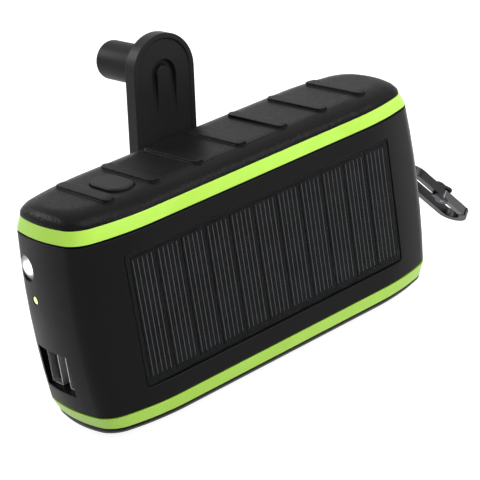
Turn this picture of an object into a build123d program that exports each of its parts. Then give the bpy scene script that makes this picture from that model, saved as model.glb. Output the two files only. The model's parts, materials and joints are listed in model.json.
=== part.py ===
from build123d import *
import os
from math import acos, cos, pi, radians, sin, sqrt, tan

# A pocket power bank with a solar panel on its front, a folding hand crank on its back, a torch and
# two USB sockets in its left end and a snap hook on its right end. Millimetres.
# +X runs along the body to the snap hook, -Y is the front with the solar panel, and +Z is up.
# The origin is the middle of the plane that the bottom ribs rest on. Every sub-part is drawn about
# the middle of the body, and save() lifts it by half of the height.

# body
LENGTH = 144.8
DEPTH = 42.0
MID_HEIGHT = 56.4
SHOULDER_RADIUS = 70.0
SHOULDER_ANGLE = 17.0
CORNER_RADIUS = 9.0
END_ANGLE = 12.0
END_BULGE = 1.5
BULGE_STEPS = 6
FRONT_WALL = 3.0
BACK_WALL = 3.8
LEFT_WALL = 8.4
CAVITY_END_GAP = 4.4

# lime plates, whose edges are the two bands, with a dark gasket inside each
BAND_HEIGHT = 4.1
BAND_END_INSET = 1.5
BAND_FACE_INSET = 0.9
GASKET_THICKNESS = 0.6
GASKET_INSET = 0.6

# ribbed rubber covers
COVER_RISE = 4.1
DOME_REACH = 9.0
DOME_END_REACH = 5.0
DOME_ANGLES = (0.0, 15.0, 35.0, 55.0, 75.0, 90.0)
RIB_COUNT = 7
RIB_PITCH = 17.2
RIB_WIDTH = 4.0
RIB_RISE = 0.8
RIB_REACH = 27.0

# solar panel
PANEL_LENGTH = 108.0
PANEL_HEIGHT = 43.2
PANEL_SHIFT = -1.0
PANEL_RECESS = 1.8
PANEL_GAP = 0.2
PANEL_CORNER = 1.5
BOARD_THICKNESS = 0.8
CELL_THICKNESS = 0.2
CELL_COUNT = 11
CELL_GAP = 1.0
CELL_MARGIN = 1.6
WINDOW_THICKNESS = 0.4

# torch and charge light in the left end
TORCH_Y = 9.0
TORCH_Z = 17.1
TORCH_RADIUS = 4.1
LENS_THICKNESS = 1.4
REFLECTOR_LENGTH = 6.0
EMITTER_RADIUS = 1.4
EMITTER_BASE = 1.0
TORCH_SETBACK = 1.5
LIGHT_Y = 6.4
LIGHT_Z = 7.4
LIGHT_RADIUS = 1.25
LIGHT_SETBACK = 0.9

# USB sockets, standing on edge side by side
USB_HEIGHT = 13.1
USB_WIDTH = 5.7
USB_SHEET = 0.3
USB_LENGTH = 14.0
USB_PITCH = 9.6
USB_Y = 3.2
USB_Z = -15.6
USB_SETBACK = 3.6
USB_TONGUE = 1.9
USB_MOUTH_GAP = 0.25
CARRIER_LENGTH = 3.0

# main board and battery
PCB_LENGTH = 26.0
PCB_HEIGHT = 48.0
PCB_THICKNESS = 1.6
PCB_END_GAP = 0.5
STANDOFF_RADIUS = 2.5
STANDOFF_INSET = 4.0
STANDOFF_TOP_INSET = 10.0
STANDOFF_USB_GAP = 5.0
CELL_PACK_LENGTH = 72.0
CELL_PACK_HEIGHT = 48.0
CELL_PACK_THICKNESS = 4.6
CELL_PACK_COUNT = 2
CELL_PACK_END_GAP = 1.0

# screws
SCREW_RADIUS = 1.1
SCREW_HEAD_RADIUS = 2.2
SCREW_HEAD = 1.5
SCREW_LENGTH = 8.0
PLATE_BOSS_RADIUS = 3.2
PLATE_SCREW_INSET = 2.6
PLATE_SCREW_OFFSET = 14.0
PLATE_SCREW_HALF_PITCH = 12.0

# button
BUTTON_WIDTH = 9.0
BUTTON_LENGTH = 16.0
BUTTON_RISE = 0.9
BUTTON_TRAVEL = 0.8
BUTTON_GAP = 0.3
STEM_RADIUS = 1.6
STEM_HOLE_GAP = 0.3
SWITCH_WIDTH = 6.2
SWITCH_DEPTH = 4.2
SWITCH_PLUNGER = 1.0

# crank
HUB_X = -3.4
HUB_RADIUS = 15.0
HUB_THICKNESS = 3.0
HUB_GAP = 0.4
HUB_EDGE = 0.6
SHAFT_RADIUS = 3.0
BUSH_RADIUS = 4.6
RUNNING_GAP = 0.04
LEAN = 8.0
ARM_REACH = 54.0
ARM_WIDTH = 24.4
ARM_THICKNESS = 5.0
ARM_Y = 27.0
ARM_RIM = 1.8
ARM_RIM_STEP = 0.5
GROOVE_WIDTH = 9.6
GROOVE_LENGTH = 22.0
GROOVE_LINE = 2.1
GROOVE_DEPTH = 2.0
GROOVE_TOP = 57.5
LUG_WIDTH = 10.0
LUG_RADIUS = 4.0
LUG_SIDE_GAP = 0.3
LUG_SLOT_GAP = 3.0
TINE_RADIUS = 4.2
PIN_RADIUS = 1.5

# knob
KNOB_RADIUS = 6.6
KNOB_LENGTH = 24.0
KNOB_GAP = 0.2
KNOB_EDGE = 0.8
KNOB_AXLE_RADIUS = 2.0
KNOB_AXLE_COVER = 2.0
KNOB_END_WALL = 2.0
POCKET_GAP = 0.6

# gear train, from the crank to the generator
CRANK_MODULE = 0.8
CRANK_TEETH = 42
IDLER_PINION_TEETH = 14
ROTOR_MODULE = 0.5
IDLER_TEETH = 56
ROTOR_TEETH = 14
PRESSURE_ANGLE = 20.0
ADDENDUM = 0.9
DEDENDUM = 1.2
BACKLASH = 0.1
GEAR_WIDTH = 4.0
GEAR_STEP = 1.0
GEAR_WALL_GAP = 1.7
IDLER_DIRECTION = 20.0
ROTOR_DIRECTION = -75.0
AXLE_RADIUS = 1.5
GEARBOX_THICKNESS = 1.2
GEARBOX_GAP = 0.7
POST_RADIUS = 3.0
POST_HUB_OFFSET = 17.0
POST_END_GAP = 2.0
POST_HALF_PITCH = 21.0

# generator
CAN_RADIUS = 13.0
CAN_LENGTH = 10.0
CAN_WALL = 1.0
COIL_RADIUS = 9.6
ROTOR_RADIUS = 9.0
ROTOR_LENGTH = 6.0
ROTOR_SHAFT_RADIUS = 1.0

# snap hook
HOOK_X = 78.0
HOOK_Y = 8.0
HOOK_Z = 3.0
HOOK_ANGLE = 48.0
HOOK_TURN = 80.0
EYE_RADIUS = 4.0
EAR_THICKNESS = 2.0
EAR_GAP = 0.3
HOOK_THICKNESS = 3.2
HOOK_START = 10.0
HOOK_LENGTH = 39.0
HOOK_WIDTH = 11.6
HOOK_WALL = 2.8
HOOK_BOSS_RADIUS = 3.0
HOOK_BOSS_STEP = 1.2
COLLAR_RADIUS = 2.4
COLLAR_GAP = 1.2
SWIVEL_RADIUS = 1.3
SWIVEL_HEAD_RADIUS = 2.1
SWIVEL_HEAD = 1.2
SWIVEL_GAP = 0.2
GATE_PIVOT = 31.0
GATE_LENGTH = 12.5
GATE_RADIUS = 1.3
GATE_PIN_RADIUS = 0.7
GATE_GAP = 0.35
CHEEK_RADIUS = 2.4
CHEEK_THICKNESS = 0.9
CHEEK_GAP = 0.2

# worked out from the sizes above
HALF_LENGTH = LENGTH / 2
HALF_DEPTH = DEPTH / 2
HALF_MID = MID_HEIGHT / 2
BAND_TOP = HALF_MID + BAND_HEIGHT
COVER_TOP = BAND_TOP + COVER_RISE
HALF_HEIGHT = COVER_TOP + RIB_RISE
EDGE_HALF_LENGTH = HALF_LENGTH - END_BULGE
PLATE_HALF_LENGTH = EDGE_HALF_LENGTH - BAND_END_INSET
PLATE_HALF_DEPTH = HALF_DEPTH - BAND_FACE_INSET

PANEL_FLOOR = -HALF_DEPTH + PANEL_RECESS
CAVITY_FRONT = PANEL_FLOOR + FRONT_WALL
CAVITY_BACK = HALF_DEPTH - BACK_WALL
CAVITY_LEFT = -HALF_LENGTH + LEFT_WALL

HINGE_Y = ARM_Y + ARM_THICKNESS / 2
ARM_OUTER = ARM_Y + ARM_THICKNESS
HUB_INNER = HALF_DEPTH + HUB_GAP
HUB_OUTER = HUB_INNER + HUB_THICKNESS
KNOB_START = ARM_OUTER + KNOB_GAP
KNOB_END = KNOB_START + KNOB_LENGTH

# the gears stand in two layers below the back wall, and the gearbox plate closes them in
UPPER_GEAR_TOP = CAVITY_BACK - GEAR_WALL_GAP
UPPER_GEAR_BASE = UPPER_GEAR_TOP - GEAR_WIDTH
LOWER_GEAR_TOP = UPPER_GEAR_BASE - GEAR_STEP
LOWER_GEAR_BASE = LOWER_GEAR_TOP - GEAR_WIDTH
GEARBOX_TOP = LOWER_GEAR_BASE - GEARBOX_GAP
GEARBOX_BASE = GEARBOX_TOP - GEARBOX_THICKNESS
IDLER_DISTANCE = CRANK_MODULE * (CRANK_TEETH + IDLER_PINION_TEETH) / 2
ROTOR_DISTANCE = ROTOR_MODULE * (IDLER_TEETH + ROTOR_TEETH) / 2
IDLER_X = HUB_X + IDLER_DISTANCE * cos(radians(IDLER_DIRECTION))
IDLER_Z = IDLER_DISTANCE * sin(radians(IDLER_DIRECTION))
ROTOR_X = IDLER_X + ROTOR_DISTANCE * cos(radians(ROTOR_DIRECTION))
ROTOR_Z = IDLER_Z + ROTOR_DISTANCE * sin(radians(ROTOR_DIRECTION))
CAVITY_RIGHT = ROTOR_X + CAN_RADIUS + CAVITY_END_GAP

# the main board lies against the nearer USB shell, and the switch stands on the board
SHELL_FRONT = USB_Y - USB_PITCH / 2 - USB_WIDTH / 2
SHELL_LEFT = -HALF_LENGTH + USB_SETBACK
PCB_FRONT = SHELL_FRONT - PCB_THICKNESS
PCB_LEFT = CAVITY_LEFT + PCB_END_GAP
BUTTON_X = -RIB_PITCH * 2.5
BUTTON_Y = SHELL_FRONT + SWITCH_DEPTH / 2
STEM_FOOT = HALF_MID - BUTTON_TRAVEL
STANDOFF_LEFT = PCB_LEFT + STANDOFF_INSET
STANDOFF_RIGHT = PCB_LEFT + PCB_LENGTH - STANDOFF_INSET
STANDOFF_TOP = PCB_HEIGHT / 2 - STANDOFF_TOP_INSET
STANDOFFS = (
    (STANDOFF_LEFT, STANDOFF_TOP),
    (STANDOFF_LEFT, USB_Z + USB_HEIGHT / 2 + STANDOFF_USB_GAP),
    (STANDOFF_RIGHT, STANDOFF_TOP),
    (STANDOFF_RIGHT, STANDOFF_INSET - PCB_HEIGHT / 2),
)
POST_LEFT = HUB_X - POST_HUB_OFFSET
POST_RIGHT = CAVITY_RIGHT - POST_END_GAP - POST_RADIUS
POSTS = [(x, z) for x in (POST_LEFT, POST_RIGHT) for z in (-POST_HALF_PITCH, POST_HALF_PITCH)]
PLATE_SCREWS = (
    (CAVITY_LEFT + PLATE_SCREW_INSET, CAVITY_FRONT + PLATE_SCREW_INSET),
    (CAVITY_LEFT + PLATE_SCREW_INSET, CAVITY_BACK - PLATE_SCREW_INSET),
    (CAVITY_RIGHT + PLATE_SCREW_OFFSET, -PLATE_SCREW_HALF_PITCH),
    (CAVITY_RIGHT + PLATE_SCREW_OFFSET, PLATE_SCREW_HALF_PITCH),
)


def plan_outline(half_length, half_depth):
    """Outline of the body seen from above: long faces, slow shoulders, round corners, bowed ends."""
    turn, last = radians(SHOULDER_ANGLE), radians(90 - END_ANGLE)
    shoulder_y = half_depth - SHOULDER_RADIUS * (1 - cos(turn))
    corner_y = shoulder_y - CORNER_RADIUS * (cos(turn) - cos(last))
    end_radius = corner_y / cos(last)
    corner_x = half_length - end_radius * (1 - sin(last))
    shoulder_x = corner_x - CORNER_RADIUS * (sin(last) - sin(turn))
    flat_x = shoulder_x - SHOULDER_RADIUS * sin(turn)
    corner_middle = (shoulder_x - CORNER_RADIUS * sin(turn), shoulder_y - CORNER_RADIUS * cos(turn))
    end = CenterArc((half_length - end_radius, 0), end_radius, -END_ANGLE, 2 * END_ANGLE)
    corner = CenterArc(corner_middle, CORNER_RADIUS, END_ANGLE, 90 - END_ANGLE - SHOULDER_ANGLE)
    middle = (flat_x, half_depth - SHOULDER_RADIUS)
    shoulder = CenterArc(middle, SHOULDER_RADIUS, 90 - SHOULDER_ANGLE, SHOULDER_ANGLE)
    right = [end, corner, shoulder, mirror(corner, Plane.XZ), mirror(shoulder, Plane.XZ)]
    left = [mirror(edge, Plane.YZ) for edge in right]
    face = Line((-flat_x, half_depth), (flat_x, half_depth))
    return make_face(right + left + [face, mirror(face, Plane.XZ)])


def plan_solid(half_length, half_depth, low, high):
    """The plan outline as an upright block from one height to another."""
    return Pos(0, 0, low) * extrude(plan_outline(half_length, half_depth), high - low)


def plan_loft(sections):
    """A solid through plan outlines, each given as half length, half depth and height."""
    wires = [(Pos(0, 0, z) * plan_outline(x, y)).face().outer_wire() for x, y, z in sections]
    return Part() + Solid.make_loft(wires, True)


def slab(sketch, y_low, y_high):
    """A sketch drawn in X and Z, as thick as the space between two Y planes."""
    return Pos(0, y_high, 0) * extrude(Plane.XZ * sketch, y_high - y_low)


def rod(x, z, radius, y_low, y_high):
    """A round bar along Y."""
    return slab(Pos(x, z) * Circle(radius), y_low, y_high)


def end_rod(y, z, radius, x_low, x_high):
    """A round bar along X."""
    return Pos((x_low + x_high) / 2, y, z) * Rot(0, 90, 0) * Cylinder(radius, x_high - x_low)


def block(x_low, x_high, y_low, y_high, z_low, z_high):
    """A box between three pairs of planes."""
    middle = Pos((x_low + x_high) / 2, (y_low + y_high) / 2, (z_low + z_high) / 2)
    return middle * Box(x_high - x_low, y_high - y_low, z_high - z_low)


def cavity():
    """The space inside the housing, open at the top and at the bottom."""
    return block(CAVITY_LEFT, CAVITY_RIGHT, CAVITY_FRONT, CAVITY_BACK, -HALF_MID, HALF_MID)


def panel_recess():
    """The shallow seat of the solar panel in the front."""
    outline = RectangleRounded(PANEL_LENGTH + 2 * PANEL_GAP, PANEL_HEIGHT + 2 * PANEL_GAP, PANEL_CORNER)
    return slab(Pos(PANEL_SHIFT, 0) * outline, -HALF_DEPTH - 1, PANEL_FLOOR)


def knob_pocket():
    """The pocket in the back that takes the knob of the folded crank, with a wall swept by the knob."""
    radius = KNOB_RADIUS + POCKET_GAP
    floor = 2 * HINGE_Y - KNOB_END - POCKET_GAP
    corner = sqrt((ARM_REACH + KNOB_RADIUS) ** 2 + (KNOB_END - HINGE_Y) ** 2) + POCKET_GAP
    slot = SlotOverall(HUB_X + corner - (HUB_X + ARM_REACH - radius), 2 * radius)
    slot_middle = (HUB_X + corner + HUB_X + ARM_REACH - radius) / 2
    swept = Pos(HUB_X, HINGE_Y, 0) * Cylinder(corner, 3 * radius)
    return slab(Pos(slot_middle, 0) * slot, floor, HALF_DEPTH + 1) & swept


def usb_mouth():
    """The window for both USB shells in the left end."""
    half_width = (USB_PITCH + USB_WIDTH) / 2 + USB_MOUTH_GAP
    half_height = USB_HEIGHT / 2 + USB_MOUTH_GAP
    low, high = USB_Z - half_height, USB_Z + half_height
    return block(-HALF_LENGTH - 1, CAVITY_LEFT, USB_Y - half_width, USB_Y + half_width, low, high)


def plate_bosses():
    """The corner bosses in the cavity, for the left screws of both plates."""
    height = SCREW_LENGTH + 1
    seat = HALF_MID - GASKET_THICKNESS - height / 2
    boss = Cylinder(PLATE_BOSS_RADIUS, height)
    return Part() + [Pos(x, y, side * seat) * boss for x, y in PLATE_SCREWS[:2] for side in (-1, 1)]


def screw_shafts():
    """The shafts of the eight screws that hold the lime plates."""
    foot = BAND_TOP - SCREW_HEAD - SCREW_LENGTH
    middle = (foot + BAND_TOP - SCREW_HEAD) / 2
    shaft = Cylinder(SCREW_RADIUS, SCREW_LENGTH)
    return [Pos(x, y, side * middle) * shaft for x, y in PLATE_SCREWS for side in (-1, 1)]


def screw_heads():
    """The heads of the same screws, sunk flush in the plates."""
    middle = BAND_TOP - SCREW_HEAD / 2
    head = Cylinder(SCREW_HEAD_RADIUS, SCREW_HEAD)
    return [Pos(x, y, side * middle) * head for x, y in PLATE_SCREWS for side in (-1, 1)]


def housing_body():
    """The body between the bands, as a solid block. Its ends bulge, so its edges are a little shorter."""
    top = HALF_MID - GASKET_THICKNESS
    heights = [top * (2 * step / BULGE_STEPS - 1) for step in range(BULGE_STEPS + 1)]
    return plan_loft([(HALF_LENGTH - END_BULGE * (z / top) ** 2, HALF_DEPTH, z) for z in heights])


def hook_ears():
    """The two moulded ears in the right end that hold the pin of the snap hook."""
    root = HALF_LENGTH - EYE_RADIUS
    outline = Pos(HOOK_X, HOOK_Z) * Circle(EYE_RADIUS)
    outline += Pos((root + HOOK_X) / 2, HOOK_Z) * Rectangle(HOOK_X - root, 2 * EYE_RADIUS)
    inner = HOOK_THICKNESS / 2 + EAR_GAP
    outer = inner + EAR_THICKNESS
    return slab(outline, HOOK_Y + inner, HOOK_Y + outer) + slab(outline, HOOK_Y - outer, HOOK_Y - inner)


def mid_housing():
    """The black housing between the bands, with its seats, its mouths and the posts inside it."""
    shell = housing_body() - cavity() - panel_recess() - knob_pocket()
    shell += plate_bosses()
    shell += [rod(x, z, STANDOFF_RADIUS, CAVITY_FRONT - 1, PCB_FRONT) for x, z in STANDOFFS]
    shell += [rod(x, z, POST_RADIUS, GEARBOX_TOP, CAVITY_BACK + 1) for x, z in POSTS]
    shell += hook_ears()
    shell -= usb_mouth()
    shell -= end_rod(TORCH_Y, TORCH_Z, TORCH_RADIUS, -HALF_LENGTH - 1, CAVITY_LEFT + LEFT_WALL)
    shell -= end_rod(LIGHT_Y, LIGHT_Z, LIGHT_RADIUS, -HALF_LENGTH - 1, CAVITY_LEFT)
    shell -= rod(HUB_X, 0, BUSH_RADIUS, CAVITY_BACK, HALF_DEPTH)
    shell -= rod(IDLER_X, IDLER_Z, AXLE_RADIUS, CAVITY_BACK, CAVITY_BACK + BACK_WALL / 2)
    shell -= rod(HOOK_X, HOOK_Z, PIN_RADIUS, HOOK_Y - 2 * EYE_RADIUS, HOOK_Y + 2 * EYE_RADIUS)
    shell -= [rod(x, z, SCREW_RADIUS, GEARBOX_TOP, CAVITY_BACK) for x, z in POSTS]
    shell -= [rod(x, z, SCREW_RADIUS, CAVITY_FRONT, PCB_FRONT) for x, z in STANDOFFS]
    return shell - screw_shafts()


def lime_plate():
    """The top lime plate. Its edge is the band that shows, drawn in more at the ends than at the faces."""
    low = (EDGE_HALF_LENGTH, HALF_DEPTH, HALF_MID)
    high = (PLATE_HALF_LENGTH, PLATE_HALF_DEPTH, BAND_TOP)
    return plan_loft([low, high]) - screw_shafts() - screw_heads()


def gasket():
    """The dark seal between the housing and the top plate."""
    low = HALF_MID - GASKET_THICKNESS
    ring = plan_solid(EDGE_HALF_LENGTH - GASKET_INSET, HALF_DEPTH - GASKET_INSET, low, HALF_MID)
    left = CAVITY_LEFT + 2 * PLATE_BOSS_RADIUS
    return ring - block(left, CAVITY_RIGHT, CAVITY_FRONT, CAVITY_BACK, low, HALF_MID) - screw_shafts()


def ribbed_cover():
    """The domed rubber cover above the top plate, with its cross ribs."""
    steps = []
    for angle in DOME_ANGLES:
        share, up = 1 - cos(radians(angle)), COVER_RISE * sin(radians(angle))
        length, depth = PLATE_HALF_LENGTH - DOME_END_REACH * share, PLATE_HALF_DEPTH - DOME_REACH * share
        steps.append((length, depth, BAND_TOP + up))
    dome = plan_loft(steps)
    lift = plan_solid(PLATE_HALF_LENGTH, PLATE_HALF_DEPTH, BAND_TOP, BAND_TOP + RIB_RISE)
    raised = Pos(0, 0, RIB_RISE) * dome + lift
    footprint = Rot(0, 0, 90) * SlotOverall(RIB_REACH, RIB_WIDTH)
    middle = (RIB_COUNT - 1) / 2
    for number in range(RIB_COUNT):
        post = Pos((number - middle) * RIB_PITCH, 0, BAND_TOP) * extrude(footprint, 2 * COVER_RISE)
        dome += raised & post
    return dome


def button_hole(gap):
    """The room of the button in the top cover."""
    footprint = Rot(0, 0, 90) * SlotOverall(BUTTON_LENGTH + 2 * gap, BUTTON_WIDTH + 2 * gap)
    return Pos(BUTTON_X, BUTTON_Y, BAND_TOP) * extrude(footprint, COVER_RISE + BUTTON_RISE)


def stem_hole(gap):
    """The room of the button's stem in the top plate."""
    length = BAND_TOP - STEM_FOOT
    return Pos(BUTTON_X, BUTTON_Y, STEM_FOOT + length / 2) * Cylinder(STEM_RADIUS + gap, length)


def power_button():
    """The rubber button, with a pillow top, and its stem."""
    cap = Pos(0, 0, BUTTON_TRAVEL) * button_hole(0)
    low, high = BAND_TOP + BUTTON_TRAVEL, COVER_TOP + BUTTON_RISE
    cap &= block(-HALF_LENGTH, 0, -HALF_DEPTH, HALF_DEPTH, low, high)
    cap = fillet(cap.faces().sort_by(Axis.Z)[-1].edges(), BUTTON_RISE * 0.8)
    stem = Pos(BUTTON_X, BUTTON_Y, (STEM_FOOT + BAND_TOP) / 2 + BUTTON_TRAVEL / 2)
    return cap + stem * Cylinder(STEM_RADIUS, BAND_TOP - STEM_FOOT + BUTTON_TRAVEL)


def panel_layer(y_low, y_high):
    """A flat layer of the solar panel, as large as its seat allows."""
    outline = RectangleRounded(PANEL_LENGTH, PANEL_HEIGHT, PANEL_CORNER - PANEL_GAP)
    return slab(Pos(PANEL_SHIFT, 0) * outline, y_low, y_high)


def solar_cells():
    """The row of cells on the panel board."""
    back = PANEL_FLOOR - BOARD_THICKNESS
    row = PANEL_LENGTH - 2 * CELL_MARGIN
    pitch = (row + CELL_GAP) / CELL_COUNT
    first = PANEL_SHIFT - row / 2 + (pitch - CELL_GAP) / 2
    cell = Rectangle(pitch - CELL_GAP, PANEL_HEIGHT - 2 * CELL_MARGIN)
    return [slab(Pos(first + n * pitch, 0) * cell, back - CELL_THICKNESS, back) for n in range(CELL_COUNT)]


def torch_lens():
    """The clear lens of the torch, with a bulged face."""
    front = -HALF_LENGTH + TORCH_SETBACK
    disc = end_rod(TORCH_Y, TORCH_Z, TORCH_RADIUS, front, front + LENS_THICKNESS)
    bulge = 2.5 * TORCH_RADIUS
    return disc & Pos(front + bulge, TORCH_Y, TORCH_Z) * Sphere(bulge)


def torch_reflector():
    """The reflector cup behind the lens."""
    front = -HALF_LENGTH + TORCH_SETBACK + LENS_THICKNESS
    cup = end_rod(TORCH_Y, TORCH_Z, TORCH_RADIUS, front, front + REFLECTOR_LENGTH)
    middle = Pos(front + REFLECTOR_LENGTH / 2, TORCH_Y, TORCH_Z)
    return cup - middle * Rot(0, 90, 0) * Cone(TORCH_RADIUS - 0.5, EMITTER_RADIUS + 0.3, REFLECTOR_LENGTH)


def torch_led():
    """The light emitter on its round base, behind the reflector."""
    base = -HALF_LENGTH + TORCH_SETBACK + LENS_THICKNESS + REFLECTOR_LENGTH
    dome = end_rod(TORCH_Y, TORCH_Z, EMITTER_RADIUS, base - EMITTER_RADIUS, base)
    dome = chamfer(dome.faces().sort_by(Axis.X)[0].edges(), EMITTER_RADIUS / 2)
    return end_rod(TORCH_Y, TORCH_Z, TORCH_RADIUS, base, base + EMITTER_BASE) + dome


def usb_places():
    """The middles of the two USB sockets across the depth."""
    return (USB_Y - USB_PITCH / 2, USB_Y + USB_PITCH / 2)


def usb_shells():
    """The two sheet metal shells."""
    outer = Rectangle(USB_WIDTH, USB_HEIGHT)
    tube = extrude(Plane.YZ * (outer - offset(outer, -USB_SHEET)), USB_LENGTH)
    return [Pos(SHELL_LEFT, y, USB_Z) * tube for y in usb_places()]


def usb_tongues():
    """The contact tongues inside the shells."""
    tongue = extrude(Plane.YZ * Rectangle(USB_TONGUE, USB_HEIGHT - 2.2), USB_LENGTH - 1.2)
    return [Pos(SHELL_LEFT + 1.2, y, USB_Z) * tongue for y in usb_places()]


def usb_carrier():
    """The plastic block that the shells and tongues stand in, on the main board."""
    rear = SHELL_LEFT + USB_LENGTH
    half_height = USB_HEIGHT / 2
    far = USB_Y + USB_PITCH / 2 + USB_WIDTH / 2
    return block(rear, rear + CARRIER_LENGTH, SHELL_FRONT, far, USB_Z - half_height, USB_Z + half_height)


def circuit_board():
    """The main board, with the holes of its four screws."""
    board = block(PCB_LEFT, PCB_LEFT + PCB_LENGTH, PCB_FRONT, SHELL_FRONT, -PCB_HEIGHT / 2, PCB_HEIGHT / 2)
    return board - [rod(x, z, SCREW_RADIUS, PCB_FRONT, SHELL_FRONT) for x, z in STANDOFFS]


def side_screws(places, seat, direction):
    """Pan head screws along Y, with their heads on a seat."""
    screws = []
    for x, z in places:
        foot, top = seat - direction * SCREW_LENGTH, seat + direction * SCREW_HEAD
        shaft = rod(x, z, SCREW_RADIUS, min(foot, seat), max(foot, seat))
        screws.append(shaft + rod(x, z, SCREW_HEAD_RADIUS, min(seat, top), max(seat, top)))
    return screws


def tact_switch():
    """The small switch on the board, with its plunger just below the button's stem."""
    top = STEM_FOOT - BUTTON_TRAVEL - 0.2
    half = SWITCH_WIDTH / 2
    back, shoulder = SHELL_FRONT + SWITCH_DEPTH, top - SWITCH_PLUNGER
    body = block(BUTTON_X - half, BUTTON_X + half, SHELL_FRONT, back, shoulder - SWITCH_DEPTH, shoulder)
    plunger = Cylinder(0.9 * STEM_RADIUS, SWITCH_PLUNGER)
    return body + Pos(BUTTON_X, BUTTON_Y, shoulder + SWITCH_PLUNGER / 2) * plunger


def battery_cells():
    """The flat cells that lie against the front wall, one on the other."""
    right = CAVITY_RIGHT - CELL_PACK_END_GAP
    half = CELL_PACK_HEIGHT / 2
    cells = []
    for number in range(CELL_PACK_COUNT):
        front = CAVITY_FRONT + number * CELL_PACK_THICKNESS
        back = front + CELL_PACK_THICKNESS
        cells.append(block(right - CELL_PACK_LENGTH, right, front, back, -half, half))
    return [fillet(cell.edges().filter_by(Axis.Z), 1.5) for cell in cells]


def gear(module, teeth, y_low, y_high, bore, middle, facing):
    """An involute spur gear along Y. A tooth points in the direction called facing, in degrees."""
    pitch_radius = module * teeth / 2
    base_radius = pitch_radius * cos(radians(PRESSURE_ANGLE))
    tip_radius = pitch_radius + ADDENDUM * module
    root_radius = pitch_radius - DEDENDUM * module
    half_tooth = pi / (2 * teeth) - BACKLASH / (2 * pitch_radius)
    start = max(base_radius, root_radius)
    flank = [(root_radius, start)] if root_radius < start else []
    flank += [(radius, radius) for radius in (start, (start + 2 * tip_radius) / 3, tip_radius)]
    profile = []
    for radius, contact in flank:
        slope = acos(base_radius / contact)
        at_pitch = tan(radians(PRESSURE_ANGLE)) - radians(PRESSURE_ANGLE)
        profile.append((radius, half_tooth + at_pitch - (tan(slope) - slope)))
    points = []
    for number in range(teeth):
        centre = radians(facing) + 2 * pi * number / teeth
        points += [(r * cos(centre - a), r * sin(centre - a)) for r, a in profile]
        points += [(r * cos(centre + a), r * sin(centre + a)) for r, a in reversed(profile)]
    outline = make_face(Polyline(*points, close=True)) - Circle(bore)
    return slab(Pos(middle[0], middle[1]) * outline, y_low, y_high)


def generator_can():
    """The round metal can of the generator, under the gearbox plate."""
    base = GEARBOX_BASE - CAN_LENGTH
    can = rod(ROTOR_X, ROTOR_Z, CAN_RADIUS, base, GEARBOX_BASE)
    can -= rod(ROTOR_X, ROTOR_Z, CAN_RADIUS - 1.5 * CAN_WALL, base + CAN_WALL, GEARBOX_BASE - CAN_WALL)
    return can - rod(ROTOR_X, ROTOR_Z, ROTOR_SHAFT_RADIUS + RUNNING_GAP, base, GEARBOX_BASE)


def generator_coils():
    """The ring of windings inside the can."""
    low = GEARBOX_BASE - CAN_LENGTH / 2 - ROTOR_LENGTH / 2
    ring = Circle(CAN_RADIUS - 1.5 * CAN_WALL) - Circle(COIL_RADIUS)
    return slab(Pos(ROTOR_X, ROTOR_Z) * ring, low, low + ROTOR_LENGTH)


def generator_rotor():
    """The magnet rotor on its shaft."""
    low = GEARBOX_BASE - CAN_LENGTH / 2 - ROTOR_LENGTH / 2
    ring = Circle(ROTOR_RADIUS) - Circle(ROTOR_SHAFT_RADIUS)
    return slab(Pos(ROTOR_X, ROTOR_Z) * ring, low, low + ROTOR_LENGTH)


def gearbox_plate():
    """The metal plate on the four posts that carries the axle, the shaft end and the generator."""
    left, right = POST_LEFT - POST_RADIUS, POST_RIGHT + POST_RADIUS
    half = POST_HALF_PITCH + POST_RADIUS
    plate = Pos((left + right) / 2, 0) * RectangleRounded(right - left, 2 * half, POST_RADIUS)
    plate -= Pos(HUB_X, 0) * Circle(SHAFT_RADIUS + RUNNING_GAP)
    plate -= Pos(IDLER_X, IDLER_Z) * Circle(AXLE_RADIUS)
    plate -= Pos(ROTOR_X, ROTOR_Z) * Circle(3 * ROTOR_SHAFT_RADIUS)
    plate -= [Pos(x, z) * Circle(SCREW_RADIUS) for x, z in POSTS]
    return slab(plate, GEARBOX_BASE, GEARBOX_TOP)


def crank_bush():
    """The bearing bush of the crank in the back wall."""
    ring = Circle(BUSH_RADIUS) - Circle(SHAFT_RADIUS + RUNNING_GAP)
    return slab(Pos(HUB_X, 0) * ring, CAVITY_BACK, HALF_DEPTH + HUB_GAP / 2)


def on_crank(shape):
    """A shape of the crank, drawn upright about the shaft, in its place and at its lean."""
    return Pos(HUB_X, 0, 0) * Rot(0, LEAN, 0) * shape


def crank_hub():
    """The hub disc, with the lug that the arm folds on."""
    disc = rod(0, 0, HUB_RADIUS, HUB_INNER, HUB_OUTER)
    disc = chamfer(disc.faces().sort_by(Axis.Y)[-1].edges(), HUB_EDGE)
    disc += end_rod(HINGE_Y, 0, LUG_RADIUS, -LUG_WIDTH / 2, LUG_WIDTH / 2)
    disc += block(-LUG_WIDTH / 2, LUG_WIDTH / 2, HUB_OUTER - 1, HINGE_Y, -LUG_RADIUS, LUG_RADIUS)
    disc -= end_rod(HINGE_Y, 0, PIN_RADIUS + RUNNING_GAP, -LUG_WIDTH, LUG_WIDTH)
    return on_crank(disc - rod(0, 0, SHAFT_RADIUS, HUB_INNER, HUB_OUTER - 0.6))


def arm_outline(margin):
    """The arm's outline, with a round top end."""
    half = ARM_WIDTH / 2 - margin
    return Pos(0, ARM_REACH) * Circle(half) + Pos(0, ARM_REACH / 2) * Rectangle(2 * half, ARM_REACH)


def arch(width, top):
    """A long band with a round top end, from the pivot of the arm up to a height."""
    half = width / 2
    return Pos(0, top - half) * Circle(half) + Pos(0, (top - half) / 2) * Rectangle(width, top - half)


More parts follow.
